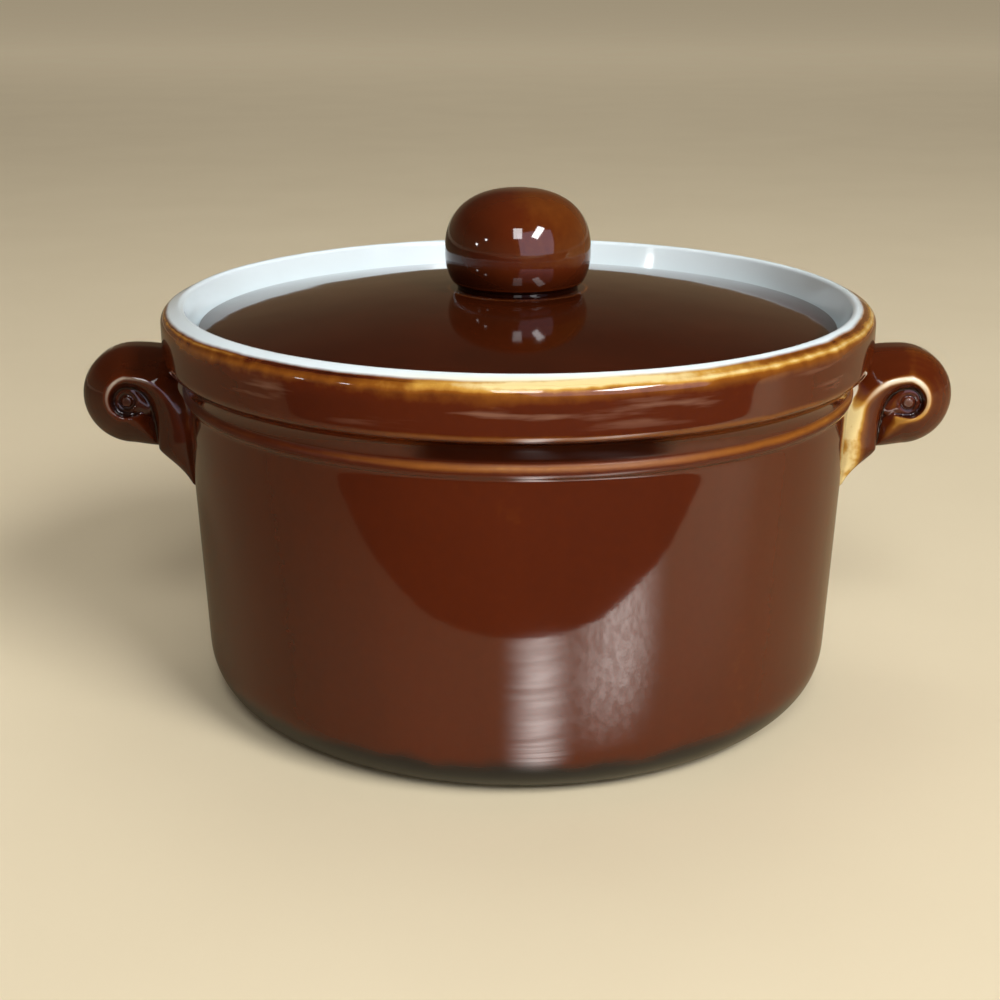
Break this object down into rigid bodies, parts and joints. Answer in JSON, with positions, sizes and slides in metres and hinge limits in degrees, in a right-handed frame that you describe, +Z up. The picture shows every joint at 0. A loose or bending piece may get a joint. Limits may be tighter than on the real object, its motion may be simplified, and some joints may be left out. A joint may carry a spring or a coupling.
{
  "type": "casserole dish",
  "caption": "Round stoneware casserole dish with a straight wall, a collared rim, scroll lugs at the sides and a domed, knobbed lid that lifts off a ledge inside the rim.",
  "frame": {"origin": "middle of the base on the pot's axis, at the level of the table", "axes": "+Z up along the pot's axis, +X out through the right lug as seen from the front, -Y towards the front"},
  "size_m": [0.2508, 0.2012, 0.1451],
  "materials": {
    "brown_glaze": "glossy red-brown glaze that breaks to amber on edges",
    "amber_glaze": "the same glaze, thinner and more golden, glossy",
    "white_glaze": "glossy bluish white glaze"
  },
  "bodies": {
    "pot": {"pot_body": "brown_glaze", "pot_lining": "white_glaze", "left_handle": "brown_glaze", "right_handle": "brown_glaze"},
    "lid": {"lid_plate": "brown_glaze", "lid_lining": "white_glaze", "lid_knob": "amber_glaze"}
  },
  "joints": [
    {"name": "lid_lift", "type": "slide", "parent": "pot", "child": "lid", "axis": [0, 0, 1], "range_m": [0, 0.12]}
  ]
}
